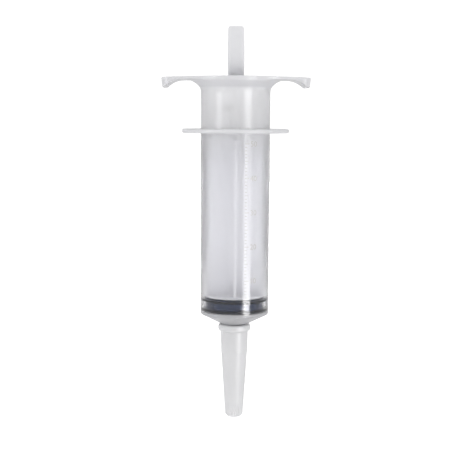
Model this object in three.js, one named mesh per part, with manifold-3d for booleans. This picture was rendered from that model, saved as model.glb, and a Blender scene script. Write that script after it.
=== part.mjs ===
// A 60 ml piston irrigation syringe with a thumb ring, standing on its tip cap.
// Four mouldings: barrel, plunger rod, rubber piston seal and tip cap.
// Millimetres, +Z up along the syringe axis, finger wings along X, origin at the cap's end.

import * as THREE from "three";
import { mergeVertices } from "three/addons/utils/BufferGeometryUtils.js";
import Module from "manifold-3d";

const wasm = await Module();
wasm.setup();

// ---- Driving dimensions ------------------------------------------------------------------

const CLEARANCE = 0.3;
const SEGMENTS = 48;

// Barrel tube
const BORE_RADIUS = 14.4;
const BARREL_RADIUS_LOW = 15.55;
const BARREL_RADIUS_HIGH = 15.75;
const SHOULDER_Z = 48.5;
const MOUTH_Z = 156.8;
const MOUTH_CHAMFER = 0.6;
const STOP_BEAD_Z = 148.2;
const STOP_BEAD_RADIUS = 13.95;

// Conical shoulder and catheter tip
const CONE_END_Z = 43.8;
const CONE_END_RADIUS = 6.1;
const TIP_ROOT_RADIUS = 5.0;
const TIP_END_RADIUS = 3.0;
const TIP_END_Z = 8.0;
const TIP_BORE_ROOT_RADIUS = 3.0;
const TIP_BORE_END_RADIUS = 1.6;
const CONE_FLOOR_Z = 45.3;
const BORE_FLOOR_Z = 49.3;

// Hanging collar
const COLLAR_RADIUS = 24.4;
const COLLAR_BOTTOM_Z = 131.5;
const COLLAR_TOP_Z = 133.3;

// Finger flange
const FLANGE_DISC_RADIUS = 20.3;
const FLANGE_THICKNESS = 1.3;
const WING_REACH = 33.4;
const WING_DROOP = 0.5;
const WING_TIP_HEIGHT = 4.3;
const WING_TIP_WIDTH = 1.5;
const WING_TIP_SLANT = 0.4;
const WING_HALF_DEPTH = 12.6;
const WING_ROOT_HALF_DEPTH = 13.3;
const WING_CORNER_RADIUS = 4.0;
const WING_FLAT_REACH = 12.0;
const FINGER_ARCH_X = 23.3;
const FLARE_RADIUS = 8.8;
const FLARE_SWEEP = 50;
const FLARE_FOOT_Z = 149.6;

// Piston seal
const SEAL_BOTTOM_Z = 50.1;
const SEAL_HEIGHT = 6.0;
const SEAL_RADIUS = 14.1;
const SEAL_WAIST_RADIUS = 13.4;
const SEAL_RIB_HEIGHT = 1.7;
const SEAL_NOSE = 0.9;
const SOCKET_FLOOR = 2.2;
const SOCKET_RADIUS = 8.2;
const SOCKET_HEIGHT = 2.0;
const SOCKET_NECK_RADIUS = 6.0;

// Plunger rod
const RIB_HALF_WIDTH = 13.1;
const RIB_THICKNESS = 1.6;
const FOOT_DISC_RADIUS = 13.2;
const FOOT_DISC_THICKNESS = 1.2;
const GUIDE_DISC_RADIUS = 13.6;
const GUIDE_DISC_THICKNESS = 1.4;
const GUIDE_DISC_Z = 144.9;
const NECK_HALF_WIDTH_LOW = 6.5;
const NECK_HALF_WIDTH_HIGH = 5.5;

// Thumb ring
const RING_RADIUS = 13.25;
const RING_HOLE_RADIUS = 9.9;
const RING_WIDTH = 7.0;
const RING_EDGE = 0.8;
const RING_TOP_Z = 179.6;

// Tip cap
const CAP_BEAD_RADIUS = 7.45;
const CAP_BEAD_BOTTOM_Z = 40.4;
const CAP_MOUTH_Z = 43.5;
const CAP_NECK_RADIUS = 6.3;
const CAP_STEP_Z = 30.4;
const CAP_STEP_RADIUS = 6.1;
const CAP_STEP_DEPTH = 0.15;
const CAP_SHANK_RADIUS = 4.25;
const CAP_SHANK_Z = 3.4;
const CAP_FLOOR = 1.6;
const CAP_SOCKET_RADIUS = 3.2;
const CAP_MOUTH_RADIUS = 6.0;

// ---- Materials ---------------------------------------------------------------------------

const milkyPlastic = new THREE.MeshStandardMaterial({ color: 0xdcdce0, roughness: 0.3, metalness: 0 });
const whitePlastic = new THREE.MeshStandardMaterial({ color: 0xe2e3e6, roughness: 0.4, metalness: 0 });
const sealRubber = new THREE.MeshStandardMaterial({ color: 0x2b2d36, roughness: 0.6, metalness: 0 });
const capPlastic = new THREE.MeshStandardMaterial({ color: 0xd9dadd, roughness: 0.45, metalness: 0 });

// ---- Helpers -----------------------------------------------------------------------------

// Turns a closed three.js geometry into a solid, dropping the slivers that meet on an axis.
function solidFrom(geometry) {
  const bare = geometry.clone();
  bare.deleteAttribute("normal");
  bare.deleteAttribute("uv");
  const merged = mergeVertices(bare, 1e-4);
  const index = merged.index.array;
  const triangles = [];
  for (let i = 0; i < index.length; i += 3) {
    const [a, b, c] = [index[i], index[i + 1], index[i + 2]];
    if (a !== b && b !== c && c !== a) triangles.push(a, b, c);
  }
  return new wasm.Manifold(
    new wasm.Mesh({
      numProp: 3,
      vertProperties: new Float32Array(merged.attributes.position.array),
      triVerts: new Uint32Array(triangles),
    }),
  );
}

function namedMesh(name, solid, material) {
  const result = solid.getMesh();
  const geometry = new THREE.BufferGeometry();
  geometry.setAttribute("position", new THREE.BufferAttribute(result.vertProperties, 3));
  geometry.setIndex(new THREE.BufferAttribute(result.triVerts, 1));
  geometry.computeVertexNormals();
  const mesh = new THREE.Mesh(geometry, material);
  mesh.name = name;
  return mesh;
}

// Spins an outline of [radius, height] points, listed upwards, about the Z axis.
function revolve(outline, segments = SEGMENTS) {
  const points = outline.map(([radius, height]) => new THREE.Vector2(radius, height));
  return solidFrom(new THREE.LatheGeometry(points, segments).rotateX(Math.PI / 2));
}

function disc(radius, bottom, top) {
  return revolve([[0, bottom], [radius, bottom], [radius, top], [0, top]]);
}

function block(width, depth, bottom, top) {
  const box = new THREE.BoxGeometry(width, depth, top - bottom);
  return solidFrom(box.translate(0, 0, (bottom + top) / 2));
}

// Points on an arc, with angles in degrees measured from the first axis of the plane.
function arc(centre, radius, from, to, steps) {
  const points = [];
  for (let i = 0; i <= steps; i += 1) {
    const angle = THREE.MathUtils.degToRad(from + ((to - from) * i) / steps);
    points.push([centre[0] + radius * Math.cos(angle), centre[1] + radius * Math.sin(angle)]);
  }
  return points;
}

function barrelRadiusAt(height) {
  const share = (height - SHOULDER_Z) / (MOUTH_Z - SHOULDER_Z);
  return BARREL_RADIUS_LOW + share * (BARREL_RADIUS_HIGH - BARREL_RADIUS_LOW);
}

// ---- Barrel ------------------------------------------------------------------------------

const FLANGE_UNDERSIDE_Z = MOUTH_Z - FLANGE_THICKNESS;

// The trumpet that runs from the barrel wall out to the underside of the flange.
function flareOutline() {
  const sweep = arc(
    [FINGER_ARCH_X, FLANGE_UNDERSIDE_Z - FLARE_RADIUS],
    FLARE_RADIUS,
    90 + FLARE_SWEEP,
    90,
    6,
  );
  const [startRadius, startZ] = sweep[0];
  const foot = new THREE.Vector2(barrelRadiusAt(FLARE_FOOT_Z), FLARE_FOOT_Z);
  const bend = new THREE.Vector2(barrelRadiusAt(MOUTH_Z), FLARE_FOOT_Z + 1.7);
  const fillet = new THREE.QuadraticBezierCurve(foot, bend, new THREE.Vector2(startRadius, startZ));
  return [...fillet.getPoints(4).slice(0, -1).map((point) => [point.x, point.y]), ...sweep];
}

function barrelBody() {
  const edge = (COLLAR_TOP_Z - COLLAR_BOTTOM_Z) / 2;
  return revolve([
    [0, TIP_END_Z],
    [TIP_END_RADIUS - 0.4, TIP_END_Z],
    [TIP_END_RADIUS, TIP_END_Z + 0.5],
    [TIP_ROOT_RADIUS, CONE_END_Z - 0.2],
    [CONE_END_RADIUS, CONE_END_Z],
    [BARREL_RADIUS_LOW - 0.4, SHOULDER_Z - 0.2],
    [BARREL_RADIUS_LOW, SHOULDER_Z + 0.4],
    [barrelRadiusAt(COLLAR_BOTTOM_Z), COLLAR_BOTTOM_Z],
    ...arc([COLLAR_RADIUS - edge, COLLAR_BOTTOM_Z + edge], edge, -90, 90, 6),
    [barrelRadiusAt(COLLAR_TOP_Z), COLLAR_TOP_Z],
    ...flareOutline(),
    [FINGER_ARCH_X, MOUTH_Z],
    [0, MOUTH_Z],
  ]);
}

// Everything inside: catheter channel, conical floor, bore, stop bead and mouth chamfer.
function barrelCavity() {
  return revolve([
    [0, TIP_END_Z - 1],
    [TIP_BORE_END_RADIUS, TIP_END_Z - 1],
    [TIP_BORE_END_RADIUS, TIP_END_Z],
    [TIP_BORE_ROOT_RADIUS, CONE_FLOOR_Z],
    [BORE_RADIUS, BORE_FLOOR_Z],
    [BORE_RADIUS, STOP_BEAD_Z],
    [STOP_BEAD_RADIUS, STOP_BEAD_Z + 0.4],
    [STOP_BEAD_RADIUS, STOP_BEAD_Z + 0.7],
    [BORE_RADIUS, STOP_BEAD_Z + 1.1],
    [BORE_RADIUS, MOUTH_Z - MOUTH_CHAMFER],
    [BORE_RADIUS + MOUTH_CHAMFER, MOUTH_Z],
    [BORE_RADIUS + MOUTH_CHAMFER, MOUTH_Z + 1],
    [0, MOUTH_Z + 1],
  ]);
}

// Plan of the flange: a disc that flows into two finger wings, drawn for one quarter.
function flangePlan() {
  const leave = THREE.MathUtils.degToRad(57);
  const quarter = new THREE.Path();
  quarter.moveTo(0, FLANGE_DISC_RADIUS);
  quarter.absarc(0, 0, FLANGE_DISC_RADIUS, Math.PI / 2, leave, true);
  quarter.quadraticCurveTo(15.2, WING_ROOT_HALF_DEPTH + 0.6, 21, WING_ROOT_HALF_DEPTH);
  quarter.lineTo(WING_REACH - WING_CORNER_RADIUS, WING_HALF_DEPTH);
  quarter.absarc(
    WING_REACH - WING_CORNER_RADIUS,
    WING_HALF_DEPTH - WING_CORNER_RADIUS,
    WING_CORNER_RADIUS,
    Math.PI / 2,
    0,
    true,
  );
  const points = quarter.getPoints(6);
  const flip = (sx, sy) => points.map((point) => new THREE.Vector2(sx * point.x, sy * point.y));
  const outline = [
    ...flip(1, 1),
    ...flip(1, -1).reverse(),
    ...flip(-1, -1),
    ...flip(-1, 1).reverse(),
  ];
  const spaced = outline.filter((point, i) => i === 0 || point.distanceTo(outline[i - 1]) > 1e-3);
  const depth = MOUTH_Z - FLARE_FOOT_Z + 6;
  const prism = new THREE.ExtrudeGeometry(new THREE.Shape(spaced.reverse()), {
    depth,
    bevelEnabled: false,
  });
  return solidFrom(prism.translate(0, 0, FLARE_FOOT_Z - 4));
}

// Side view of the plate: flat over the barrel, drooping a little to thick wing tips.
function flangePlate() {
  const tipBottom = MOUTH_Z - WING_DROOP - WING_TIP_HEIGHT;
  const innerX = WING_REACH - WING_TIP_SLANT - WING_TIP_WIDTH;
  const rise = FLANGE_UNDERSIDE_Z - tipBottom;
  const run = innerX - FINGER_ARCH_X;
  const archRadius = (run * run + rise * rise) / (2 * rise);
  const archStart = THREE.MathUtils.radToDeg(Math.asin(run / archRadius));
  const arch = arc(
    [FINGER_ARCH_X, FLANGE_UNDERSIDE_Z - archRadius],
    archRadius,
    90 - archStart,
    90,
    7,
  );
  const top = new THREE.QuadraticBezierCurve(
    new THREE.Vector2(WING_FLAT_REACH, MOUTH_Z),
    new THREE.Vector2((WING_FLAT_REACH + WING_REACH) / 2, MOUTH_Z),
    new THREE.Vector2(WING_REACH - 0.4, MOUTH_Z - WING_DROOP),
  );
  const half = [
    ...top.getPoints(5).map((point) => [point.x, point.y]),
    [WING_REACH, MOUTH_Z - WING_DROOP - 0.4],
    [WING_REACH - WING_TIP_SLANT, tipBottom + 0.3],
    [WING_REACH - WING_TIP_SLANT - 0.3, tipBottom],
    ...arch,
  ];
  const mirrored = half.map(([x, z]) => [-x, z]).reverse();
  const outline = [...half, ...mirrored].reverse().map(([x, z]) => new THREE.Vector2(x, z));
  const depth = 2 * FLANGE_DISC_RADIUS + 4;
  const prism = new THREE.ExtrudeGeometry(new THREE.Shape(outline), { depth, bevelEnabled: false });
  return solidFrom(prism.translate(0, 0, -depth / 2).rotateX(Math.PI / 2));
}

function makeBarrel() {
  const body = barrelBody();
  const split = FLARE_FOOT_Z - 3;
  const lower = body.intersect(block(200, 200, 0, split));
  const upper = body.intersect(block(200, 200, split, 200));
  const flange = upper.add(flangePlate()).intersect(flangePlan());
  const shell = lower.add(flange).subtract(barrelCavity());
  return namedMesh("barrel", shell, milkyPlastic);
}

// ---- Piston seal -------------------------------------------------------------------------

// Two sealing ribs with a waist between them, and an undercut socket for the rod's head.
function makePistonSeal() {
  const ribTop = SEAL_RIB_HEIGHT;
  const upperRib = SEAL_HEIGHT - SEAL_RIB_HEIGHT;
  const outside = revolve([
    [0, -SEAL_NOSE],
    [4, -SEAL_NOSE],
    [SEAL_RADIUS - 0.6, 0],
    [SEAL_RADIUS, 0.4],
    [SEAL_RADIUS, ribTop - 0.4],
    [SEAL_WAIST_RADIUS, ribTop],
    [SEAL_WAIST_RADIUS, upperRib],
    [SEAL_RADIUS, upperRib + 0.4],
    [SEAL_RADIUS, SEAL_HEIGHT - 0.4],
    [SEAL_RADIUS - 0.6, SEAL_HEIGHT],
    [0, SEAL_HEIGHT],
  ]);
  const socket = revolve([
    [0, SOCKET_FLOOR],
    [SOCKET_RADIUS, SOCKET_FLOOR],
    [SOCKET_RADIUS, SOCKET_FLOOR + SOCKET_HEIGHT],
    [SOCKET_NECK_RADIUS, SOCKET_FLOOR + SOCKET_HEIGHT],
    [SOCKET_NECK_RADIUS, SEAL_HEIGHT + 1],
    [0, SEAL_HEIGHT + 1],
  ]);
  return namedMesh("piston_seal", outside.subtract(socket), sealRubber);
}

// ---- Plunger rod -------------------------------------------------------------------------

// Heights in this piece are measured from the underside of the seal's lower rib.
function makePlungerRod() {
  const headBottom = SOCKET_FLOOR + CLEARANCE;
  const headTop = SOCKET_FLOOR + SOCKET_HEIGHT - CLEARANCE;
  const footBottom = SEAL_HEIGHT + CLEARANCE;
  const guideBottom = GUIDE_DISC_Z - SEAL_BOTTOM_Z;
  const guideTop = guideBottom + GUIDE_DISC_THICKNESS;
  const head = disc(SOCKET_RADIUS - CLEARANCE, headBottom, headTop);
  const stem = disc(SOCKET_NECK_RADIUS - CLEARANCE, headTop - 0.2, footBottom + 0.2);
  const foot = disc(FOOT_DISC_RADIUS, footBottom, footBottom + FOOT_DISC_THICKNESS);
  const ribBottom = footBottom + 0.5;
  const ribTop = guideBottom + 0.5;
  const sideRibs = block(2 * RIB_HALF_WIDTH, RIB_THICKNESS, ribBottom, ribTop);
  const frontRibs = block(RIB_THICKNESS, 2 * RIB_HALF_WIDTH, ribBottom, ribTop);
  const guide = disc(GUIDE_DISC_RADIUS, guideBottom, guideTop);
  const rod = head.add(stem).add(foot).add(sideRibs).add(frontRibs).add(guide);
  return namedMesh("plunger_rod", rod.add(thumbRing(guideTop - 0.5)), whitePlastic);
}

// Ring and neck in one outline in the YZ plane, extruded along X with softened edges.
function thumbRing(neckBottom) {
  const outer = RING_RADIUS - RING_EDGE;
  const centre = RING_TOP_Z - SEAL_BOTTOM_Z - RING_RADIUS;
  const neckHigh = NECK_HALF_WIDTH_HIGH - RING_EDGE;
  const neckLow = NECK_HALF_WIDTH_LOW - RING_EDGE;
  const join = Math.asin(neckHigh / outer);
  const outline = new THREE.Shape();
  outline.moveTo(-neckLow, neckBottom + RING_EDGE);
  outline.lineTo(neckLow, neckBottom + RING_EDGE);
  outline.absarc(0, centre, outer, -Math.PI / 2 + join, (3 * Math.PI) / 2 - join, false);
  const hole = new THREE.Path();
  hole.absarc(0, centre, RING_HOLE_RADIUS + RING_EDGE, 0, 2 * Math.PI, true);
  outline.holes.push(hole);
  const depth = RING_WIDTH - 2 * RING_EDGE;
  const ring = new THREE.ExtrudeGeometry(outline, {
    depth,
    curveSegments: 20,
    bevelSegments: 2,
    bevelSize: RING_EDGE,
    bevelThickness: RING_EDGE,
  });
  ring.translate(0, 0, -depth / 2);
  ring.rotateX(Math.PI / 2);
  ring.rotateZ(Math.PI / 2);
  return solidFrom(ring);
}

// ---- Tip cap -----------------------------------------------------------------------------

function makeTipCap() {
  const beadMiddle = (CAP_BEAD_BOTTOM_Z + CAP_MOUTH_Z) / 2;
  const beadHalf = (CAP_MOUTH_Z - CAP_BEAD_BOTTOM_Z) / 2;
  const outside = revolve([
    [0, 0],
    [CAP_SHANK_RADIUS - 1.6, 0.35],
    [CAP_SHANK_RADIUS - 0.7, 1.2],
    [CAP_SHANK_RADIUS - 0.2, 2.3],
    [CAP_SHANK_RADIUS, CAP_SHANK_Z],
    [CAP_STEP_RADIUS - CAP_STEP_DEPTH, CAP_STEP_Z],
    [CAP_STEP_RADIUS, CAP_STEP_Z + 0.2],
    [CAP_NECK_RADIUS, CAP_BEAD_BOTTOM_Z],
    [CAP_BEAD_RADIUS - 0.5, CAP_BEAD_BOTTOM_Z + 0.2],
    [CAP_BEAD_RADIUS, beadMiddle - beadHalf / 3],
    [CAP_BEAD_RADIUS, beadMiddle + beadHalf / 3],
    [CAP_BEAD_RADIUS - 0.6, CAP_MOUTH_Z],
    [0, CAP_MOUTH_Z],
  ]);
  const inside = revolve([
    [0, CAP_FLOOR],
    [CAP_SOCKET_RADIUS - 0.1, CAP_FLOOR],
    [CAP_SOCKET_RADIUS + 0.15, TIP_END_Z],
    [TIP_ROOT_RADIUS + CLEARANCE, CAP_BEAD_BOTTOM_Z],
    [CAP_MOUTH_RADIUS, CAP_MOUTH_Z],
    [CAP_MOUTH_RADIUS, CAP_MOUTH_Z + 1],
    [0, CAP_MOUTH_Z + 1],
  ]);
  return namedMesh("tip_cap", outside.subtract(inside), capPlastic);
}

// ---- Assembly ----------------------------------------------------------------------------

const syringe = new THREE.Group();
const plunger = new THREE.Group();
plunger.position.z = SEAL_BOTTOM_Z;
plunger.add(makePistonSeal(), makePlungerRod());
syringe.add(makeBarrel(), plunger, makeTipCap());

export default syringe;
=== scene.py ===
"""Smooth visual model of a thumb-ring irrigation syringe, built around its fixed frame.

The file is laid out as an add-on: property groups hold the sizes and finishes that a user would
change, one operator makes each piece, and a panel in the sidebar lists them. Sizes are in metres.
"""

import math

import bmesh
import bpy
from mathutils import Matrix, Vector


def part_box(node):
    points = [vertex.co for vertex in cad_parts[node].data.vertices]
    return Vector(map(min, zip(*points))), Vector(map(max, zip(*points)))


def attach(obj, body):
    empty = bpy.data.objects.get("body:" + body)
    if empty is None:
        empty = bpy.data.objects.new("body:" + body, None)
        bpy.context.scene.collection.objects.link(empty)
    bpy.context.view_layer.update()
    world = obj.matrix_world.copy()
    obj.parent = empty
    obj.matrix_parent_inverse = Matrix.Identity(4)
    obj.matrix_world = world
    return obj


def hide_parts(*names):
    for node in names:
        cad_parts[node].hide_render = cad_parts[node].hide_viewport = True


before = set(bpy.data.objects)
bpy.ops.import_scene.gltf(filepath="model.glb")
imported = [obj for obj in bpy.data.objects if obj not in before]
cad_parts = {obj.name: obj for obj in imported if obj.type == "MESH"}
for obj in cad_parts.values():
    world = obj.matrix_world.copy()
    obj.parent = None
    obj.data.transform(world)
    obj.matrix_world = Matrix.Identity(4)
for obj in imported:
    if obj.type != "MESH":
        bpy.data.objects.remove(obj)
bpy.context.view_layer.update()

bl_info = {
    "name": "Irrigation Syringe",
    "version": (1, 0, 0),
    "blender": (4, 5, 0),
    "location": "View3D > Sidebar > Syringe",
    "description": "Builds the visual model of a thumb-ring irrigation syringe",
    "category": "Object",
}

MM = 0.001

BARREL_LOW, BARREL_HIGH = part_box("barrel")
SEAL_LOW, SEAL_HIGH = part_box("piston_seal")
ROD_LOW, ROD_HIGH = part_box("plunger_rod")
CAP_LOW, CAP_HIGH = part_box("tip_cap")


# ---- Settings ----


def length(name, description, millimetres, **limits):
    """A size that the user edits in scene units."""
    return bpy.props.FloatProperty(
        name=name,
        description=description,
        default=millimetres * MM,
        precision=5,
        subtype="DISTANCE",
        unit="LENGTH",
        **limits,
    )


def colour(name, description, value):
    return bpy.props.FloatVectorProperty(
        name=name, description=description, default=value, subtype="COLOR", min=0, max=1
    )


def share(name, description, value):
    return bpy.props.FloatProperty(
        name=name, description=description, default=value, min=0, max=1, subtype="FACTOR"
    )


def angle(name, description, degrees):
    return bpy.props.FloatProperty(
        name=name, description=description, default=math.radians(degrees), subtype="ANGLE"
    )


def strength(name, description, value):
    return bpy.props.FloatProperty(name=name, description=description, default=value, min=0)


class BarrelSettings(bpy.types.PropertyGroup):
    bore_radius: length("Bore Radius", "Inside radius of the tube", 14.4)
    low_radius: length("Shoulder Radius", "Outside radius of the tube above its shoulder", 15.55)
    high_radius: length("Mouth Radius", "Outside radius of the tube under the flange", 15.75)
    shoulder: length("Shoulder Height", "Where the tube turns into its cone", 48.5)
    cone_end: length("Cone End Height", "Where the cone meets the catheter tip", 43.8)
    cone_radius: length("Cone End Radius", "Radius of the cone at the catheter tip", 6.1)
    collar_bottom: length("Collar Height", "Underside of the thin hanging collar", 131.5)
    collar_thickness: length("Collar Thickness", "Thickness of the hanging collar", 1.8)
    stop_bead: length("Stop Bead Height", "Lower edge of the bead inside the mouth", 148.2)
    bore_floor: length("Bore Floor", "Where the bore turns in towards the tip", 49.3)
    channel_top: length("Channel Top", "Where the bore narrows into the tip's channel", 45.3)
    channel_radius: length("Channel Radius", "Radius of the channel at the tip's end", 1.6)
    tip_radius: length("Tip Radius", "Outside radius of the catheter tip's end", 3.0)
    # Below this height the cone turns cloudy and takes painted shade (the grey tint).
    cloudy_below: length("Cloudy Below", "Height under which the cone is cloudy", 50.1)
    cloud_foot: length("Cloud Foot", "Height where the mouth starts to turn cloudy", 122.0)
    cloud_fade: length("Cloud Fade", "Height over which the mouth turns cloudy", 14.0)
    # Near the seal the wall is clearer and less rough, and its coat is stronger as a painted brighter
    # highlight; the next two heights set that zone.
    wet_top: length("Wet Top", "Height up to which the wall looks wet from the seal", 56.5)
    wet_fade: length("Wet Fade", "Height over which the wet look fades", 23.0)
    wall_tint: colour("Wall Tint", "Tint of the milky polypropylene in the tube", (0.97, 0.97, 0.985))
    # Grey tint: faint random streaks in the wall, and painted shade over the whole cone.
    grey_tint: colour("Grey Tint", "Tint of the cone and of faint streaks", (0.6, 0.6, 0.62))
    flange_tint: colour("Flange Tint", "Tint of the cloudy flange and collar", (0.75, 0.75, 0.77))
    milk_tint: colour("Milk Tint", "Tint of the cloudy tube below the flange", (0.98, 0.98, 1.0))
    haze: share("Haze", "How much the wall blurs what is behind it", 0.8)
    clarity: share("Clarity", "Share of light that passes on instead of scattering back", 0.995)


class FlangeSettings(bpy.types.PropertyGroup):
    disc_radius: length("Disc Radius", "Round part of the flange at the mouth", 20.3)
    thickness: length("Thickness", "Thinnest stretch of the wings", 1.3)
    droop: length("Droop", "How far the top falls towards the wing tips", 0.5)
    tip_height: length("Tip Height", "Height of the thick wing tips", 4.3)
    tip_width: length("Tip Width", "Width of a wing tip's lower edge", 1.5)
    half_depth: length("Half Depth", "Half the depth of a wing near its tip", 12.6)
    root_half_depth: length("Root Half Depth", "Half the depth of a wing near the disc", 13.3)
    corner_radius: length("Corner Radius", "Rounding of the wing corners in plan", 4.0)
    arch_x: length("Arch Position", "From the axis to the thinnest stretch", 23.3)
    flare_radius: length("Flare Radius", "Curve from the tube out to the wings", 8.8)
    flare_foot: length("Flare Foot", "Height where the tube starts to flare", 149.6)
    flare_turn: angle("Flare Turn", "How far round its curve the flare starts", 50)
    flat_reach: length("Flat Reach", "Half the stretch of the top that stays flat", 12.0)
    disc_turn: angle("Disc Turn", "Where the disc meets a wing, from the X axis", 57)
    root_x: length("Root Position", "From the axis to a wing's straight edge", 21.0)
    hollow_x: length("Hollow Position", "From the axis to the bend at the disc", 15.2)
    rim: length("Rim Rounding", "Rounding of the flange's edges", 0.42)
    draft: share("Draft", "How much the edges lean in towards the top", 0.09)
    count: bpy.props.IntProperty(
        name="Segments", description="Steps around the barrel", default=240, min=48, max=720
    )


class ScaleSettings(bpy.types.PropertyGroup):
    zero: length("Zero Height", "Height of the mark for an empty syringe", 50.1)
    pitch: length("Pitch", "Height of one millilitre in the bore", 1.535)
    relief: length("Relief", "How far the marks stand off the tube", 0.06)
    figure: length("Figure Height", "Height of the numbers", 3.4)
    stroke: length("Stroke", "Thickness of a mark", 0.3)
    start: angle("Start", "Where the marks begin, to the right of the front", 15)
    volume: bpy.props.IntProperty(
        name="Volume", description="Last mark, in millilitres", default=50, min=10, max=50
    )
    ink: colour("Tint", "Tint of the marks", (0.8, 0.79, 0.75))


class PlungerSettings(bpy.types.PropertyGroup):
    rib_half_width: length("Rib Reach", "From the axis to a rib's outer edge", 13.1)
    rib_thickness: length("Rib Thickness", "Thickness of the four long ribs", 1.6)
    guide_radius: length("Guide Radius", "Radius of the upper guide disc", 13.6)
    guide_height: length("Guide Height", "Underside of the upper guide disc", 144.9)
    guide_thickness: length("Guide Thickness", "Thickness of the upper guide disc", 1.4)
    foot_radius: length("Foot Radius", "Radius of the disc above the seal", 13.2)
    foot_thickness: length("Foot Thickness", "Thickness of the disc above the seal", 1.2)
    head_radius: length("Head Radius", "Radius of the head inside the seal", 7.9)
    head_thickness: length("Head Thickness", "Thickness of the head inside the seal", 1.4)
    stem_radius: length("Stem Radius", "Radius of the stem above the head", 5.7)
    ring_radius: length("Ring Radius", "Outside radius of the thumb ring", 13.25)
    ring_hole: length("Thumb Hole Radius", "Radius of the hole for the thumb", 9.9)
    ring_width: length("Ring Width", "Width of the thumb ring along X", 7.0)
    plastic: colour("Plastic", "Colour of the plunger's white plastic", (0.76, 0.76, 0.78))


class SealSettings(bpy.types.PropertyGroup):
    radius: length("Rib Radius", "Radius of the two sealing ribs", 14.43)
    waist_radius: length("Waist Radius", "Radius between the ribs", 13.4)
    rib: length("Rib Height", "Height of each sealing rib", 1.5)
    crown: length("Crown", "How far the middle of the seal stands below its ribs", 0.9)
    nose_radius: length("Nose Radius", "Flat middle of the seal's underside", 4.0)
    lip_radius: length("Lip Radius", "Radius of the hole that the rod's head snaps through", 6.0)
    lip: length("Lip", "Thickness of the rubber over the rod's head", 1.8)
    socket_radius: length("Socket Radius", "Radius of the socket for the rod's head", 8.2)
    socket_depth: length("Socket Depth", "Depth of the socket below the seal's top", 3.8)
    rubber: colour("Rubber", "Colour of the rubber", (0.004, 0.016, 0.06))


class CapSettings(bpy.types.PropertyGroup):
    bead_radius: length("Bead Radius", "Radius of the bead at the cap's mouth", 7.45)
    neck_radius: length("Neck Radius", "Radius just below the bead", 6.3)
    step_height: length("Step Height", "Height of the faint step", 30.4)
    step_radius: length("Step Radius", "Radius just above the step", 6.1)
    end_radius: length("End Radius", "Radius above the rounded end", 4.25)
    end_height: length("End Height", "Height where the rounded end starts", 3.4)
    bead_height: length("Bead Height", "Height of the bead at the cap's mouth", 3.1)
    mouth_hole: length("Mouth Hole", "Inside radius of the cap's mouth", 6.0)
    end_hole: length("End Hole", "Inside radius near the cap's end", 3.1)
    end_wall: length("End Wall", "Thickness of the cap's closed end", 1.6)
    groove: length("Groove", "Depth of the flutes", 0.22)
    flute_low: length("Flute Low", "Height where the flutes start", 1.0)
    flute_high: length("Flute High", "Height where the flutes end", 6.6)
    flutes: bpy.props.IntProperty(
        name="Flutes", description="Fine flutes around the cap's end", default=26, min=0
    )
    plastic: colour("Plastic", "Colour of the cap's milky plastic", (0.95, 0.95, 0.97))
    milkiness: share("Milkiness", "Share of light that scatters in the cap's wall", 0.7)


class StageSettings(bpy.types.PropertyGroup):
    distance: length("Camera Distance", "From the camera to the syringe's axis", 532.6)
    height: length("Camera Height", "Height of the camera above the cap's end", 139.3)
    side: angle("Side", "How far the camera stands to the left of straight ahead", 1.007)
    pan: angle("Pan", "How far the camera turns away from the axis", 0.49)
    tilt: angle("Tilt", "How far the camera looks down", 5.361)
    roll: angle("Roll", "How far the camera leans", 0.297)
    lens: bpy.props.FloatProperty(
        name="Lens", description="Focal length on a 36 mm sensor", default=93.24, min=1
    )
    floor_drop: length("Floor Drop", "Depth of the floor below the tip, clear of a pulled cap", 60)
    backdrop: strength("Backdrop", "Brightness of the white backdrop", 1.1)
    ambient: strength("Ambient", "Soft light from the tent on matt surfaces", 1.0)
    gloss: strength("Gloss", "Brightness of the tent in reflections", 0.7)
    inner_gloss: strength("Inner Gloss", "Brightness of reflections seen through plastic", 0.5)
    through: strength("Through", "Brightness of the tent seen through milky plastic", 1.26)
    key: strength("Key", "Radiance of the right strip light", 10.0)
    fill: strength("Fill", "Radiance of the left strip light", 8.0)


# ---- Outlines and skins ----


def rounded(corners, steps=5, longest=None):
    """Outline through (radius, height, rounding) corners, each turned into a true arc."""
    outline = []
    last = len(corners) - 1
    for i, (radius, height, rounding) in enumerate(corners):
        here = Vector((radius, height))
        if rounding == 0 or i in (0, last):
            outline.append(here)
            continue
        before = (Vector(corners[i - 1][:2]) - here).normalized()
        after = (Vector(corners[i + 1][:2]) - here).normalized()
        half = math.acos(max(-1.0, min(1.0, before.dot(after)))) / 2
        centre = here + (before + after).normalized() * (rounding / math.sin(half))
        start = here + before * (rounding / math.tan(half)) - centre
        turn = start.angle_signed(here + after * (rounding / math.tan(half)) - centre)
        for k in range(steps + 1):
            swing = Matrix.Rotation(-turn * k / steps, 2)
            outline.append(centre + swing @ start)
    return outline if longest is None else subdivided(outline, longest)


def subdivided(outline, longest):
    """The same outline with no stretch longer than the given length."""
    fine = [outline[0]]
    for start, end in zip(outline, outline[1:]):
        parts = max(1, math.ceil((end - start).length / longest))
        fine += [start.lerp(end, k / parts) for k in range(1, parts + 1)]
    return fine


def curve(start, bend, end, steps):
    """Points along a smooth curve from start to end that leans towards the bend."""
    shares = [k / steps for k in range(steps + 1)]
    return [start.lerp(bend, t).lerp(bend.lerp(end, t), t) for t in shares]


def even_angles(count):
    return [2 * math.pi * k / count for k in range(count)]


def circle_ring(radius, height, angles):
    return [Vector((radius * math.cos(a), radius * math.sin(a), height)) for a in angles]


def lathe_rings(outline, angles):
    return [circle_ring(point.x, point.y, angles) for point in outline]


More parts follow.
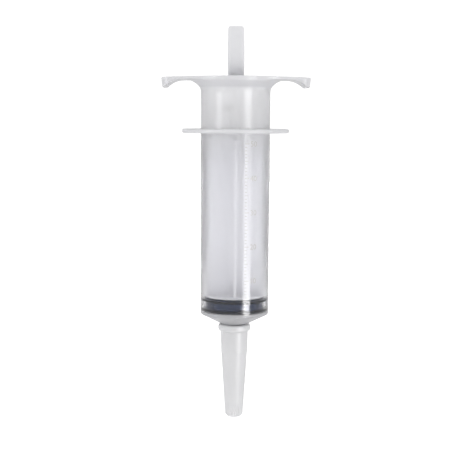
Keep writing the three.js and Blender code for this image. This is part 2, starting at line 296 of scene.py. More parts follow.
def skin(name, rings, closed=False):
    """Mesh object through rings of points; a ring on the axis becomes a single pole."""
    vertices, faces, starts = [], [], []
    for ring in rings:
        pole = all((point - ring[0]).length < 1e-7 for point in ring)
        starts.append((len(vertices), 1 if pole else len(ring)))
        vertices += ring[:1] if pole else ring
    pairs = list(zip(starts, starts[1:])) + ([(starts[-1], starts[0])] if closed else [])
    for (low, low_count), (high, high_count) in pairs:
        around = max(low_count, high_count)
        for k in range(around):
            following = (k + 1) % around
            corners = [low + k % low_count, low + following % low_count]
            corners += [high + following % high_count, high + k % high_count]
            faces.append(list(dict.fromkeys(corners)))
    mesh = bpy.data.meshes.new(name)
    mesh.from_pydata([tuple(v) for v in vertices], [], faces)
    mesh.update()
    mesh.polygons.foreach_set("use_smooth", [True] * len(mesh.polygons))
    piece = bpy.data.objects.new(name, mesh)
    bpy.context.scene.collection.objects.link(piece)
    return piece


def crease(piece, degrees=32):
    """Keeps hard edges hard while round stretches stay smooth."""
    piece.data.set_sharp_from_angle(angle=math.radians(degrees))


def dress(piece, body, slot, finish, *nodes):
    """Puts a finished piece on its body, in place of the CAD nodes that it stands for."""
    piece.data.materials.clear()
    piece.data.materials.append(finish)
    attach(piece, body)
    if nodes:
        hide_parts(*nodes)
    return piece


# ---- Shader maths ----


class Value:
    """A shader socket that takes part in Python expressions."""

    def __init__(self, tree, socket):
        self.tree = tree
        self.socket = socket

    def maths(self, operation, *operands):
        node = self.tree.nodes.new("ShaderNodeMath")
        node.operation = operation
        for socket, operand in zip(node.inputs, operands):
            feed(self.tree, socket, operand)
        return Value(self.tree, node.outputs[0])

    def __add__(self, other):
        return self.maths("ADD", self, other)

    def __radd__(self, other):
        return self.maths("ADD", other, self)

    def __sub__(self, other):
        return self.maths("SUBTRACT", self, other)

    def __rsub__(self, other):
        return self.maths("SUBTRACT", other, self)

    def __mul__(self, other):
        return self.maths("MULTIPLY", self, other)

    def __rmul__(self, other):
        return self.maths("MULTIPLY", other, self)

    def __truediv__(self, other):
        return self.maths("DIVIDE", self, other)

    def root(self):
        return self.maths("SQRT", self)

    def clamped(self):
        return self.maths("MAXIMUM", self.maths("MINIMUM", self, 1.0), 0.0)


def feed(tree, socket, value):
    """Links a value that comes from a node, or sets a plain one."""
    if isinstance(value, Value):
        tree.links.new(value.socket, socket)
    elif isinstance(value, bpy.types.NodeSocket):
        tree.links.new(value, socket)
    else:
        socket.default_value = value


class Finish:
    """A material under construction."""

    def __init__(self, name):
        self.material = bpy.data.materials.new(name)
        self.material.use_nodes = True
        self.tree = self.material.node_tree
        self.tree.nodes.clear()

    def node(self, kind, inputs=None, **settings):
        """Adds a node: its settings first, then the values or links of its sockets."""
        made = self.tree.nodes.new(kind)
        stops = settings.pop("stops", None)
        for key, value in settings.items():
            setattr(made, key, value)
        if stops:
            ramp = made.color_ramp.elements
            while len(ramp) < len(stops):
                ramp.new(1.0)
            for element, (position, shade) in zip(ramp, stops):
                element.position = position
                element.color = (*shade, 1.0)
        for key, value in (inputs or {}).items():
            feed(self.tree, made.inputs[key], value)
        return made

    def value(self, kind, output=0, inputs=None, **settings):
        """Adds a node and gives one of its outputs as a value for expressions."""
        return Value(self.tree, self.node(kind, inputs, **settings).outputs[output])

    def place(self):
        """Position on the piece, in metres."""
        return self.node("ShaderNodeTexCoord").outputs["Object"]

    def axes(self):
        """X, Y and Z on the piece, as values."""
        split = self.node("ShaderNodeSeparateXYZ", {0: self.place()})
        return [Value(self.tree, output) for output in split.outputs]

    def noise(self, scale, detail=2.0, stretch=(1.0, 1.0, 1.0)):
        """Soft random value from 0 to 1, with features about 1/scale metres across."""
        spot = self.node(
            "ShaderNodeVectorMath",
            {0: self.place(), 1: stretch},
            operation="MULTIPLY",
        ).outputs[0]
        return self.value(
            "ShaderNodeTexNoise", "Fac", {"Vector": spot, "Scale": scale, "Detail": detail}
        )

    def mix(self, share_of_second, first, second):
        """Colour between two colours."""
        return self.node(
            "ShaderNodeMix",
            {"Factor": share_of_second, 6: first, 7: second},
            data_type="RGBA",
        ).outputs[2]

    def bump(self, height, distance, amount=1.0):
        return self.node(
            "ShaderNodeBump", {"Height": height, "Distance": distance, "Strength": amount}
        ).outputs["Normal"]

    def shader(self, **principled):
        """Adds a Principled shader, with sockets named by keyword."""
        named = {key.replace("_", " "): value for key, value in principled.items()}
        return self.node("ShaderNodeBsdfPrincipled", named).outputs[0]

    def blend(self, share_of_second, first, second):
        """Mixes two shaders."""
        return self.node("ShaderNodeMixShader", {0: share_of_second, 1: first, 2: second}).outputs[0]

    def end(self, shader):
        self.node("ShaderNodeOutputMaterial", {"Surface": shader})
        return self.material

    def finish(self, **principled):
        """Ends the material in one Principled shader."""
        return self.end(self.shader(**principled))


def opaque(colour_value, factor=1.0):
    return (*[channel * factor for channel in colour_value], 1.0)


# ---- Finishes ----


def milky_barrel_plastic(settings):
    """Glossy polypropylene that blurs what is behind it, cloudier in the flange and cone, with painted
    shade on the cone and a painted brighter highlight on the wall near the seal.
    """
    finish = Finish("milky_barrel_plastic")
    flow = finish.noise(60.0, 3.0, (1.0, 1.0, 0.35))
    x, y, z = finish.axes()
    off_axis = (x * x + y * y).root()
    outside = ((off_axis - settings.high_radius) / (0.8 * MM)).clamped()
    mouth = ((z - settings.cloud_foot) / settings.cloud_fade).clamped()
    # Mask of the cone, which turns cloudier and takes the grey tint as painted shade.
    cone = ((settings.cloudy_below - z) / (0.6 * MM)).clamped()
    # 0 near the seal, 1 higher up: near the seal the wall is clearer, less rough and has more coat, a
    #                               painted brighter highlight.
    clarity_and_sheen_falloff = ((z - settings.wet_top) / settings.wet_fade).clamped()
    cloud = outside * 0.75 + mouth * (1 - outside) * 0.52 + cone * 0.65 + clarity_and_sheen_falloff * 0.08
    clear = finish.shader(
        Base_Color=finish.mix(flow * 0.04, opaque(settings.wall_tint), opaque(settings.grey_tint)),
        Roughness=(flow - 0.5) * 0.05 + clarity_and_sheen_falloff * 0.55 + (settings.haze - 0.55),
        IOR=1.18,
        Transmission_Weight=settings.clarity,
        Specular_Tint=(0.0, 0.0, 0.0, 1.0),
        # Coat grows towards the seal: a painted brighter highlight there.
        Coat_Weight=0.7 - clarity_and_sheen_falloff * 0.42,
        Coat_Roughness=0.08,
    )
    milk = finish.mix(outside, opaque(settings.milk_tint), opaque(settings.flange_tint))
    milky = finish.shader(
        # The grey tint here is painted shade on the cone.
        Base_Color=finish.mix(cone, milk, opaque(settings.grey_tint)),
        Roughness=0.35,
        IOR=1.49,
        Subsurface_Weight=0.6,
        Subsurface_Radius=(1.0, 1.0, 1.0),
        Subsurface_Scale=2.5 * MM,
        Specular_IOR_Level=0.2,
        Coat_Weight=0.21,
        Coat_Roughness=0.08,
    )
    return finish.end(finish.blend(cloud.clamped(), clear, milky))


def scale_relief(settings):
    """Faint cream marks moulded on the tube."""
    finish = Finish("scale_relief")
    wear = finish.noise(900.0)
    return finish.finish(
        Base_Color=finish.mix(wear, opaque(settings.ink, 0.96), opaque(settings.ink)),
        Roughness=wear * 0.1 + 0.4,
        Specular_IOR_Level=0.3,
    )


def white_plunger_plastic(settings):
    """Satin white plastic with light glowing a little way through it."""
    finish = Finish("white_plunger_plastic")
    cloud = finish.noise(90.0, 2.0)
    base = finish.mix(cloud, opaque(settings.plastic, 0.97), opaque(settings.plastic))
    return finish.finish(
        Base_Color=base,
        Roughness=finish.noise(300.0) * 0.1 + 0.42,
        IOR=1.49,
        Specular_IOR_Level=0.1,
        Subsurface_Weight=0.35,
        Subsurface_Radius=(1.0, 1.0, 1.0),
        Subsurface_Scale=2.0 * MM,
        Normal=finish.bump(finish.noise(1200.0), 0.01 * MM),
    )


def seal_rubber(settings):
    """Blue-black moulded rubber with a faint bloom, with painted shade on the ribs where they press on
    the wall.
    """
    finish = Finish("black_seal_rubber")
    bloom = finish.noise(350.0, 3.0)
    x, y, _ = finish.axes()
    off_axis = (x * x + y * y).root()
    # Painted shade: the rubber is darkened on the ribs where they touch the wall.
    contact_shade = ((off_axis - (settings.radius - 0.3 * MM)) / (0.2 * MM)).clamped()
    base = finish.mix(bloom, opaque(settings.rubber, 0.85), opaque(settings.rubber, 1.15))
    return finish.finish(
        Base_Color=finish.mix(contact_shade, base, opaque(settings.rubber, 0.1)),
        Roughness=bloom * 0.04 + 0.22,
        Specular_IOR_Level=0.3,
        Coat_Weight=0.6,
        Coat_Roughness=0.15,
        Coat_IOR=1.6,
    )


def milky_cap_plastic(settings):
    """Waxy polyethylene that lets some light straight through."""
    finish = Finish("milky_cap_plastic")
    cloud = finish.noise(110.0, 2.0, (1.0, 1.0, 0.5))
    base = finish.mix(cloud, opaque(settings.plastic, 0.96), opaque(settings.plastic))
    waxy = finish.shader(
        Base_Color=base,
        Roughness=0.4,
        IOR=1.5,
        Coat_Weight=0.35,
        Coat_Roughness=0.35,
        Subsurface_Weight=0.4,
        Subsurface_Radius=(1.0, 1.0, 1.0),
        Subsurface_Scale=1.5 * MM,
    )
    clear = finish.shader(
        Base_Color=opaque(settings.plastic, 1.03),
        Roughness=0.5,
        IOR=1.3,
        Transmission_Weight=1.0,
        Specular_Tint=(0.0, 0.0, 0.0, 1.0),
        Coat_Weight=0.3,
        Coat_Roughness=0.3,
    )
    return finish.end(finish.blend(settings.milkiness, clear, waxy))


# ---- Barrel ----


def flange_outline(settings):
    """Plan of the flange as evenly spaced points, anticlockwise from the right wing."""
    reach = BARREL_HIGH.x
    corner = settings.corner_radius
    leave = settings.disc_turn
    disc = settings.disc_radius
    quarter = [Vector((reach, 0.0)), Vector((reach, settings.half_depth - corner))]
    centre = Vector((reach - corner, settings.half_depth - corner))
    for k in range(1, 13):
        turn = math.pi / 2 * k / 12
        quarter.append(centre + corner * Vector((math.cos(turn), math.sin(turn))))
    bend_start = Vector((settings.root_x, settings.root_half_depth))
    bend_middle = Vector((settings.hollow_x, settings.root_half_depth + 0.6 * MM))
    bend_end = disc * Vector((math.cos(leave), math.sin(leave)))
    quarter += curve(bend_start, bend_middle, bend_end, 16)
    for k in range(1, 17):
        turn = leave + (math.pi / 2 - leave) * k / 16
        quarter.append(disc * Vector((math.cos(turn), math.sin(turn))))
    half = quarter + [Vector((-p.x, p.y)) for p in reversed(quarter[:-1])]
    loop = half + [Vector((p.x, -p.y)) for p in reversed(half[1:-1])]
    return evenly_spaced(loop, settings.count)


def evenly_spaced(loop, count):
    """The closed loop again, walked in equal steps."""
    ends = loop[1:] + loop[:1]
    total = sum((end - start).length for start, end in zip(loop, ends))
    step, due, walked, points = total / count, 0.0, 0.0, []
    for start, end in zip(loop, ends):
        stretch = (end - start).length
        while due <= walked + stretch and len(points) < count:
            points.append(start.lerp(end, (due - walked) / stretch))
            due += step
        walked += stretch
    return points


def outward_normals(loop):
    around = zip(loop[-1:] + loop[:-1], loop[1:] + loop[:1])
    return [Vector(((after - before).y, -(after - before).x)).normalized() for before, after in around]


def soft_min(a, b, width):
    """Smaller of two heights, blended where they cross."""
    mix = max(0.0, min(1.0, 0.5 + 0.5 * (b - a) / width))
    return b * (1 - mix) + a * mix - width * mix * (1 - mix)


class FlangeForm:
    """Top and underside heights of the finger flange."""

    def __init__(self, settings):
        self.settings = settings
        self.mouth = BARREL_HIGH.z
        self.reach = BARREL_HIGH.x
        self.underside = self.mouth - settings.thickness
        self.tip_bottom = self.mouth - settings.droop - settings.tip_height
        rise = self.underside - self.tip_bottom
        run = self.reach - 0.4 * MM - settings.tip_width - settings.arch_x
        self.arch_radius = (run * run + rise * rise) / (2 * rise)

    def top(self, x):
        flat = self.settings.flat_reach
        past = max(0.0, (abs(x) - flat) / (self.reach - flat))
        return self.mouth - self.settings.droop * past * past

    def flare(self, radius):
        short = max(0.0, self.settings.arch_x - radius)
        bend = self.settings.flare_radius
        return self.underside - bend + math.sqrt(max(0.0, bend * bend - short * short))

    def arch(self, x):
        past = max(0.0, abs(x) - self.settings.arch_x)
        bend = self.arch_radius
        drop = bend - math.sqrt(max(0.0, bend * bend - past * past))
        return -soft_min(-(self.underside - drop), -self.tip_bottom, 0.5 * MM)

    def under(self, x, y):
        return soft_min(self.flare(math.hypot(x, y)), self.arch(x), 0.3 * MM)


RIM_INSETS = (2.8, 2.3, 1.9, 1.6, 1.35, 1.1, 0.85, 0.62)


def flange_rings(settings, loop, angles, start_radius, mouth_radius):
    """Rings from the foot of the flare, out along the underside, round the rim and back."""
    form = FlangeForm(settings)
    normals = outward_normals(loop)
    rim, draft = settings.rim, settings.draft

    def inset(distance):
        return [point - normal * distance for point, normal in zip(loop, normals)]

    def under(points):
        return [Vector((p.x, p.y, form.under(p.x, p.y))) for p in points]

    def over(points):
        return [Vector((p.x, p.y, form.top(p.x))) for p in points]

    def between(radius, outer, shares):
        inner = [Vector((radius * math.cos(a), radius * math.sin(a))) for a in angles]
        return [[a.lerp(b, share_out) for a, b in zip(inner, outer)] for share_out in shares]

    outer = inset(RIM_INSETS[0] * MM)
    rings = [under(ring) for ring in between(start_radius, outer, [k / 22 for k in range(0, 23)])]
    rings += [under(inset(distance * MM)) for distance in RIM_INSETS[1:]]
    for k in range(0, 5):
        turn = math.pi / 2 * k / 4
        ring = []
        for low, point, normal in zip(inset(rim), loop, normals):
            base = form.under(low.x, low.y)
            depth = form.top(point.x) - base
            spot = point - normal * (rim * (1 - math.sin(turn)) + draft * depth)
            ring.append(Vector((spot.x, spot.y, base + rim * (1 - math.cos(turn)))))
        rings.append(ring)
    for k in range(0, 5):
        turn = math.pi / 2 * k / 4
        ring = []
        for point, normal in zip(loop, normals):
            spot = point - normal * rim * (1 - math.cos(turn))
            ring.append(Vector((spot.x, spot.y, form.top(point.x) - rim * (1 - math.sin(turn)))))
        rings.append(ring)
    rings += [over(inset(distance * MM)) for distance in reversed(RIM_INSETS)]
    rings += [over(ring) for ring in between(mouth_radius, outer, [k / 14 for k in range(13, 0, -1)])]
    return rings


def wall_radius(settings, height):
    """Outside radius of the tube, which widens slightly towards the mouth."""
    up = (height - settings.shoulder) / (BARREL_HIGH.z - settings.shoulder)
    return settings.low_radius + up * (settings.high_radius - settings.low_radius)


def make_barrel(settings, flange):
    mouth, tip_end = BARREL_HIGH.z, BARREL_LOW.z
    bore, chamfer = settings.bore_radius, 0.6 * MM
    foot = flange.flare_foot
    foot_radius = wall_radius(settings, foot)
    bead = settings.stop_bead
    collar = settings.collar_bottom
    collar_top = collar + settings.collar_thickness
    collar_radius = BARREL_HIGH.y

    form = FlangeForm(flange)
    start_radius = flange.arch_x - flange.flare_radius * math.sin(flange.flare_turn)
    start_height = form.flare(start_radius)
    outline = rounded(
        [
            (bore + chamfer + 0.3 * MM, mouth, 0),
            (bore + chamfer, mouth, 0.2 * MM),
            (bore, mouth - 1.2 * MM, 0.8 * MM),
            (bore, bead + 1.1 * MM, 0.3 * MM),
            (bore - 0.4 * MM, bead + 0.7 * MM, 0.2 * MM),
            (bore - 0.4 * MM, bead + 0.4 * MM, 0.2 * MM),
            (bore, bead, 0.3 * MM),
            (bore, settings.bore_floor, 0.8 * MM),
            (3.0 * MM, settings.channel_top, 1.0 * MM),
            (settings.channel_radius, tip_end, 0.2 * MM),
            (settings.tip_radius, tip_end, 0.5 * MM),
            (5.0 * MM, settings.cone_end - 0.2 * MM, 0.12 * MM),
            (settings.cone_radius, settings.cone_end, 0.3 * MM),
            (settings.low_radius, settings.shoulder, 0.7 * MM),
            (wall_radius(settings, collar), collar, 0.35 * MM),
            (collar_radius, collar, 0.75 * MM),
            (collar_radius, collar_top, 0.75 * MM),
            (wall_radius(settings, collar_top), collar_top, 0.35 * MM),
            (foot_radius, foot, 0),
        ],
        steps=5,
        longest=6 * MM,
    )
    bend = Vector((wall_radius(settings, mouth), foot + 1.7 * MM))
    fillet = curve(Vector((foot_radius, foot)), bend, Vector((start_radius, start_height)), 8)[1:-1]
    loop = flange_outline(flange)
    angles = [math.atan2(point.y, point.x) for point in loop]
    rings = lathe_rings(outline + fillet, angles)
    rings += flange_rings(flange, loop, angles, start_radius, outline[0].x)
    barrel = skin("barrel_moulding", rings, closed=True)
    crease(barrel, 50)
    return dress(barrel, "barrel", "barrel_plastic", milky_barrel_plastic(settings), "barrel")


# ---- Piston seal ----


def make_piston_seal(settings):
    low, high = SEAL_LOW.z + settings.crown, SEAL_HIGH.z
    rib, radius, waist = settings.rib, settings.radius, settings.waist_radius
    lip_low, socket_low = high - settings.lip, high - settings.socket_depth
    outline = rounded(
        [
            (0, SEAL_LOW.z, 0),
            (settings.nose_radius, SEAL_LOW.z, 2 * MM),
            (radius - 0.9 * MM, low - 0.05 * MM, 0.5 * MM),
            (radius, low + 0.25 * MM, 0.15 * MM),
            (radius, low + rib - 0.2 * MM, 0.15 * MM),
            (waist, low + rib + 0.2 * MM, 0.35 * MM),
            (waist, high - rib - 0.2 * MM, 0.35 * MM),
            (radius, high - rib + 0.2 * MM, 0.15 * MM),
            (radius, high - 0.25 * MM, 0.15 * MM),
            (radius - 0.8 * MM, high, 0.3 * MM),
            (settings.lip_radius, high, 0.3 * MM),
            (settings.lip_radius, lip_low, 0.2 * MM),
            (settings.socket_radius, lip_low, 0.2 * MM),
            (settings.socket_radius, socket_low, 0.2 * MM),
            (0, socket_low, 0),
        ],
        steps=6,
    )
    seal = skin("rubber_seal", lathe_rings(outline, even_angles(144)))
    crease(seal)
    return dress(seal, "piston", "seal_rubber", seal_rubber(settings), "piston_seal")


# ---- Graduations ----


def bar(mesh, low, high, depth, steps):
    """Adds a closed bar, cut into steps along X so that it can be bent round the tube."""
    rows = []
    for k in range(steps + 1):
        x = low.x + (high.x - low.x) * k / steps
        corners = ((low.y, -depth), (high.y, -depth), (high.y, depth), (low.y, depth))
        rows.append([mesh.verts.new((x, y, z)) for y, z in corners])
    for left, right in zip(rows, rows[1:]):
        for k in range(4):
            mesh.faces.new((left[k], left[k - 1], right[k - 1], right[k]))
    mesh.faces.new(rows[0])
    mesh.faces.new(rows[-1][::-1])


def number(mesh, text, size, place, depth):
    """Adds a raised number, with its lower left corner at a place."""
    font = bpy.data.curves.new("number", "FONT")
    font.body = text
    font.size = size
    font.extrude = depth
    font.resolution_u = 3
    lettering = bpy.data.objects.new("number", font)
    solid = bpy.data.meshes.new_from_object(lettering)
    solid.transform(Matrix.Translation((place.x, place.y, 0)))
    mesh.from_mesh(solid)
    bpy.data.objects.remove(lettering)
    bpy.data.meshes.remove(solid)
    bpy.data.curves.remove(font)


def make_graduations(settings, barrel):
    """Ticks and numbers drawn flat, then bent round the tube."""
    drawing = bmesh.new()
    arc = barrel.low_radius
    left = settings.start * arc
    for volume in range(settings.volume + 1):
        height = settings.zero + volume * settings.pitch
        reach = (2.0 if volume % 10 == 0 else 1.5 if volume % 5 == 0 else 1.0) * MM
        low = Vector((left, height - settings.stroke / 2))
        high = Vector((left + reach, height + settings.stroke / 2))
        bar(drawing, low, high, settings.relief, 4)
        if volume % 10 == 0 and volume > 0:
            place = Vector((left + 2.5 * MM, height - settings.figure * 0.35))
            number(drawing, str(volume), settings.figure, place, settings.relief)
    bmesh.ops.remove_doubles(drawing, verts=drawing.verts, dist=1e-6)
    bmesh.ops.recalc_face_normals(drawing, faces=drawing.faces)
    for vertex in drawing.verts:
        turn, height, depth = vertex.co.x / arc, vertex.co.y, vertex.co.z
        radius = wall_radius(barrel, height) + depth
        vertex.co = (math.sin(turn) * radius, -math.cos(turn) * radius, height)
    mesh = bpy.data.meshes.new("graduations")
    drawing.to_mesh(mesh)
    drawing.free()
    piece = bpy.data.objects.new("graduations", mesh)
    bpy.context.scene.collection.objects.link(piece)
    return dress(piece, "barrel", "barrel_plastic", scale_relief(settings))


# ---- Plunger rod ----


def cross_section(settings):
    """Outline of the four ribs, with rounded edges and filleted roots."""
    reach, half = settings.rib_half_width, settings.rib_thickness / 2
    corners = []
    for quarter in range(4):
        turn = Matrix.Rotation(math.pi / 2 * quarter, 2)
        for x, y, rounding in (
            (half, -half, 0.8 * MM),
            (reach, -half * 0.8, 0.45 * MM),
            (reach, half * 0.8, 0.45 * MM),
        ):
            spot = turn @ Vector((x, y))
            corners.append((spot.x, spot.y, rounding))
    closed = corners[-1:] + corners + corners[:1]
    return rounded(closed, steps=4)[1:-1]


def rib_rings(settings, low, high):
    section = cross_section(settings)
    centre = [Vector((0, 0))] * len(section)
    rings = []
    for height, spread in ((low, 0), (low, 1), (high, 1), (high, 0)):
        flat = section if spread else centre
        rings.append([Vector((p.x, p.y, height)) for p in flat])
    return rings


def ring_band(settings, centre):
    """The thumb ring: a rounded flat band swept round a circle in the YZ plane."""
    middle = (settings.ring_radius + settings.ring_hole) / 2
    half_thick = (settings.ring_radius - settings.ring_hole) / 2
    half_wide = settings.ring_width / 2
    rounding = 1.1 * MM
    corners = [
        (-half_wide, 0, 0),
        (-half_wide, -half_thick, rounding),
        (half_wide, -half_thick, rounding),
        (half_wide, half_thick, rounding),
        (-half_wide, half_thick, rounding),
        (-half_wide, 0, 0),
    ]
    section = rounded(corners, steps=5)[:-1]
    rings = []
    for a in even_angles(120):
        outward = Vector((0, math.cos(a), math.sin(a)))
        rings.append([Vector((p.x, 0, centre)) + outward * (middle + p.y) for p in section])
    return rings


def neck_rings(settings, low, high):
    """Neck between guide disc and ring: a rounded block that flares into the disc."""
    rings = []
    for height, half_x, half_y in (
        (low, 4.6, 8.0),
        (low + 0.5 * MM, 3.95, 7.1),
        (low + 1.2 * MM, 3.6, 6.7),
        (low + 3.0 * MM, 3.45, 6.2),
        (high - 1.5 * MM, 3.4, 5.8),
        (high, 3.4, 5.9),
    ):
        corners = [(half_x, 0, 0)]
        corners += [(half_x, half_y, 1.1), (-half_x, half_y, 1.1)]
        corners += [(-half_x, -half_y, 1.1), (half_x, -half_y, 1.1), (half_x, 0, 0)]
        flat = rounded([(x * MM, y * MM, r * MM) for x, y, r in corners], steps=5)[:-1]
        rings.append([Vector((p.x, p.y, height)) for p in flat])
    count = len(rings[0])
    first = [Vector((0, 0, low))] * count
    last = [Vector((0, 0, high))] * count
    return [first] + rings + [last]


def joined(pieces):
    """Boolean union of closed pieces, kept in the first one."""
    base = pieces[0]
    for other in pieces[1:]:
        union = base.modifiers.new("union", "BOOLEAN")
        union.operation = "UNION"
        union.solver = "EXACT"
        union.object = other
        with bpy.context.temp_override(object=base, active_object=base):
            bpy.ops.object.modifier_apply(modifier=union.name)
        bpy.data.objects.remove(other)
    return base


def make_plunger_rod(settings):
    centre = ROD_HIGH.z - settings.ring_radius
    middle = (settings.ring_radius + settings.ring_hole) / 2
    angles = even_angles(144)
    foot_low = SEAL_HIGH.z + 0.3 * MM
    foot_high = foot_low + settings.foot_thickness
    head_high = ROD_LOW.z + settings.head_thickness
    guide_low = settings.guide_height
    guide_high = guide_low + settings.guide_thickness
    overlap = 0.3 * MM

    def disc(name, radius, low, high, rounding):
        outline = rounded(
            [(0, low, 0), (radius, low, rounding), (radius, high, rounding), (0, high, 0)]
        )
        return skin(name, lathe_rings(outline, angles))

    head = rounded(
        [
            (0, ROD_LOW.z, 0),
            (settings.head_radius, ROD_LOW.z, 0.3 * MM),
            (settings.head_radius, head_high, 0.3 * MM),
            (settings.stem_radius, head_high, 0.2 * MM),
            (settings.stem_radius, foot_low, 0.2 * MM),
            (settings.foot_radius, foot_low, 0.35 * MM),
            (settings.foot_radius, foot_high, 0.35 * MM),
            (0, foot_high, 0),
        ]
    )
    rod = joined(
        [
            skin("plunger_moulding", lathe_rings(head, angles)),
            skin("ribs", rib_rings(settings, foot_high - 2 * overlap, guide_low + 2 * overlap)),
            disc("guide", settings.guide_radius, guide_low, guide_high, 0.4 * MM),
            skin("neck", neck_rings(settings, guide_high - overlap, centre - middle)),
            skin("ring", ring_band(settings, centre), closed=True),
        ]
    )
    crease(rod, 40)
    return dress(
        rod, "plunger", "plunger_plastic", white_plunger_plastic(settings), "plunger_rod"
    )


# ---- Tip cap ----


def make_tip_cap(settings):
    mouth = CAP_HIGH.z + 0.2 * MM
    bead_low = CAP_HIGH.z - settings.bead_height
    bead, end = settings.bead_radius, CAP_LOW.z
    outline = rounded(
        [
            (0, end, 0),
            (settings.end_radius - 0.15 * MM, end, 2.2 * MM),
            (settings.end_radius, settings.end_height, 6 * MM),
            (settings.step_radius - 0.15 * MM, settings.step_height, 0.2 * MM),
            (settings.step_radius, settings.step_height + 0.25 * MM, 0.2 * MM),
            (settings.neck_radius, bead_low, 0.3 * MM),
            (bead, bead_low + 0.35 * MM, 1.0 * MM),
            (bead, mouth - 0.1 * MM, 1.1 * MM),
            (settings.mouth_hole, mouth, 0.3 * MM),
            (settings.mouth_hole - 0.7 * MM, bead_low, 0.5 * MM),
            (settings.end_hole + 0.25 * MM, 8.0 * MM, 0.5 * MM),
            (settings.end_hole, end + settings.end_wall, 0.6 * MM),
            (0, end + settings.end_wall, 0),
        ],
        steps=8,
        longest=0.8 * MM,
    )
    angles = even_angles(208)
    rings = lathe_rings(outline, angles)
    for ring, point in zip(rings, outline):
        if point.y > bead_low:
            break
        fluted = smooth_bump(point.y, settings.flute_low, settings.flute_high, 1.2 * MM)
        for vertex, a in zip(ring, angles):
            depth = settings.groove * fluted * (0.5 + 0.5 * math.cos(settings.flutes * a))
            vertex.xy *= 1 - (depth / point.x if point.x > depth else 0)
    cap = skin("tip_cap_moulding", rings)
    crease(cap, 50)
    return dress(cap, "cap", "cap_plastic", milky_cap_plastic(settings), "tip_cap")


def smooth_bump(x, start, end, edge):
    """1 between start and end, falling smoothly to 0 over the edge width outside."""
    rise = max(0.0, min(1.0, (x - start + edge / 2) / edge))
    fall = max(0.0, min(1.0, (end + edge / 2 - x) / edge))
    return rise * rise * (3 - 2 * rise) * fall * fall * (3 - 2 * fall)


# ---- Stage ----


def strip_light(name, radiance, azimuth, distance, low, high, width):
    """Tall strip light beside the camera that shows only as a mirrored highlight."""
    data = bpy.data.lights.new(name, "AREA")
    data.shape = "RECTANGLE"
    data.size = width
    data.size_y = high - low
    data.energy = radiance * math.pi * width * (high - low)
    data.use_nodes = True
    tree = data.node_tree
    rays = tree.nodes.new("ShaderNodeLightPath")
    mirrored = Value(tree, rays.outputs["Glossy Depth"]).clamped()
    passed = Value(tree, rays.outputs["Transmission Depth"]).clamped()
    scattered = Value(tree, rays.outputs["Diffuse Depth"]).clamped()
    shown = (1 - scattered) * (1 - passed * (1 - mirrored))
    feed(tree, tree.nodes["Emission"].inputs["Strength"], shown)
    light = bpy.data.objects.new(name, data)
    bpy.context.scene.collection.objects.link(light)
    direction = Vector((math.sin(azimuth), -math.cos(azimuth), 0))
    light.location = direction * distance + Vector((0, 0, (low + high) / 2))
    light.rotation_euler = direction.to_track_quat("Z", "Y").to_euler()
    light.visible_camera = False
    light.visible_diffuse = False
    return light


def make_stage(settings):
    scene = bpy.context.scene
    scene.view_settings.view_transform = "Standard"
    world = bpy.data.worlds.new("white_tent")
    world.use_nodes = True
    tree = world.node_tree
    rays = tree.nodes.new("ShaderNodeLightPath")
    seen = Value(tree, rays.outputs["Is Camera Ray"])
    passed = Value(tree, rays.outputs["Is Transmission Ray"])
    mirrored = Value(tree, rays.outputs["Glossy Depth"]).clamped()
    glow = seen * (settings.backdrop - settings.ambient) + settings.ambient
    glow = glow + passed * (settings.through - settings.ambient)
    deep = (Value(tree, rays.outputs["Transmission Depth"]) - 2).clamped()
    dim = deep * (settings.inner_gloss - settings.gloss) + settings.gloss
    glow = glow * (1 - mirrored) + mirrored * dim
    background = tree.nodes["Background"]
    background.inputs["Color"].default_value = (1, 1, 1, 1)
    feed(tree, background.inputs["Strength"], glow)
    scene.world = world

    floor_finish = Finish("white_floor")
    underside = floor_finish.value("ShaderNodeNewGeometry", "Backfacing")
    floor_finish.finish(
        Base_Color=(0.8, 0.8, 0.8, 1),
        Roughness=0.9,
        Emission_Color=(1, 1, 1, 1),
        Emission_Strength=0.7,
        Alpha=1 - underside,
    )
    side, depth = 3.0, -settings.floor_drop
    corners = [Vector((x * side, y * side, depth)) for x, y in ((-1, -1), (1, -1), (1, 1), (-1, 1))]
    mesh = bpy.data.meshes.new("floor")
    mesh.from_pydata([tuple(c) for c in corners], [], [(0, 1, 2, 3)])
    mesh.materials.append(floor_finish.material)
    floor = bpy.data.objects.new("floor", mesh)
    scene.collection.objects.link(floor)
    floor.visible_diffuse = False
    floor.visible_glossy = False
    floor.visible_transmission = False
    floor.visible_shadow = False

    key_turn, fill_turn = math.radians(40), math.radians(-57)
    strip_light("key_strip", settings.key, key_turn, distance=0.3, low=-0.08, high=0.28, width=0.13)
    strip_light("fill_strip", settings.fill, fill_turn, distance=0.35, low=0.12, high=0.3, width=0.12)

    ahead = settings.side - settings.pan
    forward = Vector((math.sin(ahead), math.cos(ahead), 0)) * math.cos(settings.tilt)
    forward.z = -math.sin(settings.tilt)
    right = forward.cross(Vector((0, 0, 1))).normalized()
    up = right.cross(forward)
    lean_right = right * math.cos(settings.roll) + up * math.sin(settings.roll)
    lean_up = up * math.cos(settings.roll) - right * math.sin(settings.roll)
    data = bpy.data.cameras.new("camera")
    data.lens = settings.lens
    data.sensor_width = 36
    camera = bpy.data.objects.new("camera", data)
    scene.collection.objects.link(camera)
    place = Vector((-math.sin(settings.side), -math.cos(settings.side), 0)) * settings.distance
    place.z = settings.height
    camera.matrix_world = Matrix.Translation(place) @ Matrix(
        (lean_right, lean_up, -forward)
    ).transposed().to_4x4()
    scene.camera = camera


# ---- Operators ----


class SYRINGE_OT_stage(bpy.types.Operator):
    """Add the white floor, the strip lights and the camera"""

    bl_idname = "syringe.stage"
    bl_label = "Stage"

    def execute(self, context):
        make_stage(context.scene.syringe_stage)
        return {"FINISHED"}


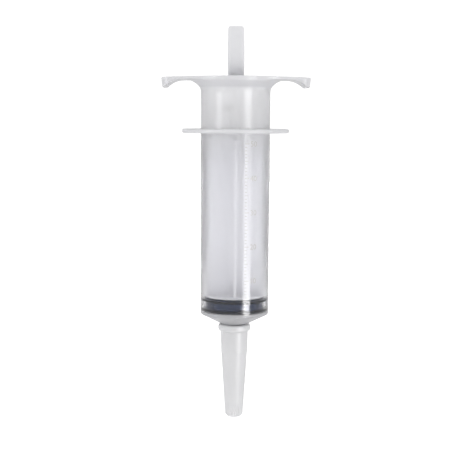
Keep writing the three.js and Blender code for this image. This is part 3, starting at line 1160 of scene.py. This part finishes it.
class SYRINGE_OT_barrel(bpy.types.Operator):
    """Build the milky barrel with its flange, collar and catheter tip"""

    bl_idname = "syringe.barrel"
    bl_label = "Barrel"

    def execute(self, context):
        make_barrel(context.scene.syringe_barrel, context.scene.syringe_flange)
        return {"FINISHED"}


class SYRINGE_OT_graduations(bpy.types.Operator):
    """Build the raised millilitre scale on the barrel"""

    bl_idname = "syringe.graduations"
    bl_label = "Graduations"

    def execute(self, context):
        make_graduations(context.scene.syringe_scale, context.scene.syringe_barrel)
        return {"FINISHED"}


class SYRINGE_OT_piston_seal(bpy.types.Operator):
    """Build the rubber seal with its two ribs"""

    bl_idname = "syringe.piston_seal"
    bl_label = "Piston Seal"

    def execute(self, context):
        make_piston_seal(context.scene.syringe_seal)
        return {"FINISHED"}


class SYRINGE_OT_plunger_rod(bpy.types.Operator):
    """Build the plunger rod with its thumb ring"""

    bl_idname = "syringe.plunger_rod"
    bl_label = "Plunger Rod"

    def execute(self, context):
        make_plunger_rod(context.scene.syringe_plunger)
        return {"FINISHED"}


class SYRINGE_OT_tip_cap(bpy.types.Operator):
    """Build the push-on cap over the catheter tip"""

    bl_idname = "syringe.tip_cap"
    bl_label = "Tip Cap"

    def execute(self, context):
        make_tip_cap(context.scene.syringe_cap)
        return {"FINISHED"}


class SYRINGE_PT_panel(bpy.types.Panel):
    """Lists the pieces of the syringe and their settings"""

    bl_idname = "SYRINGE_PT_panel"
    bl_label = "Irrigation Syringe"
    bl_space_type = "VIEW_3D"
    bl_region_type = "UI"
    bl_category = "Syringe"

    def draw(self, context):
        for operator, groups in STEPS:
            box = self.layout.box()
            box.operator(operator.bl_idname)
            for group in groups:
                settings = getattr(context.scene, group)
                for name in settings.bl_rna.properties.keys():
                    if name not in ("rna_type", "name"):
                        box.prop(settings, name)


SETTINGS = {
    "syringe_barrel": BarrelSettings,
    "syringe_flange": FlangeSettings,
    "syringe_scale": ScaleSettings,
    "syringe_plunger": PlungerSettings,
    "syringe_seal": SealSettings,
    "syringe_cap": CapSettings,
    "syringe_stage": StageSettings,
}
STEPS = (
    (SYRINGE_OT_stage, ("syringe_stage",)),
    (SYRINGE_OT_barrel, ("syringe_barrel", "syringe_flange")),
    (SYRINGE_OT_graduations, ("syringe_scale",)),
    (SYRINGE_OT_piston_seal, ("syringe_seal",)),
    (SYRINGE_OT_plunger_rod, ("syringe_plunger",)),
    (SYRINGE_OT_tip_cap, ("syringe_cap",)),
)
CLASSES = (*SETTINGS.values(), *(operator for operator, _ in STEPS), SYRINGE_PT_panel)


def register():
    for cls in CLASSES:
        bpy.utils.register_class(cls)
    for name, group in SETTINGS.items():
        setattr(bpy.types.Scene, name, bpy.props.PointerProperty(type=group))


def unregister():
    for name in SETTINGS:
        delattr(bpy.types.Scene, name)
    for cls in reversed(CLASSES):
        bpy.utils.unregister_class(cls)


def main():
    register()
    bpy.ops.syringe.stage()
    bpy.ops.syringe.barrel()
    bpy.ops.syringe.graduations()
    bpy.ops.syringe.piston_seal()
    bpy.ops.syringe.plunger_rod()
    bpy.ops.syringe.tip_cap()


if __name__ == "__main__":
    main()
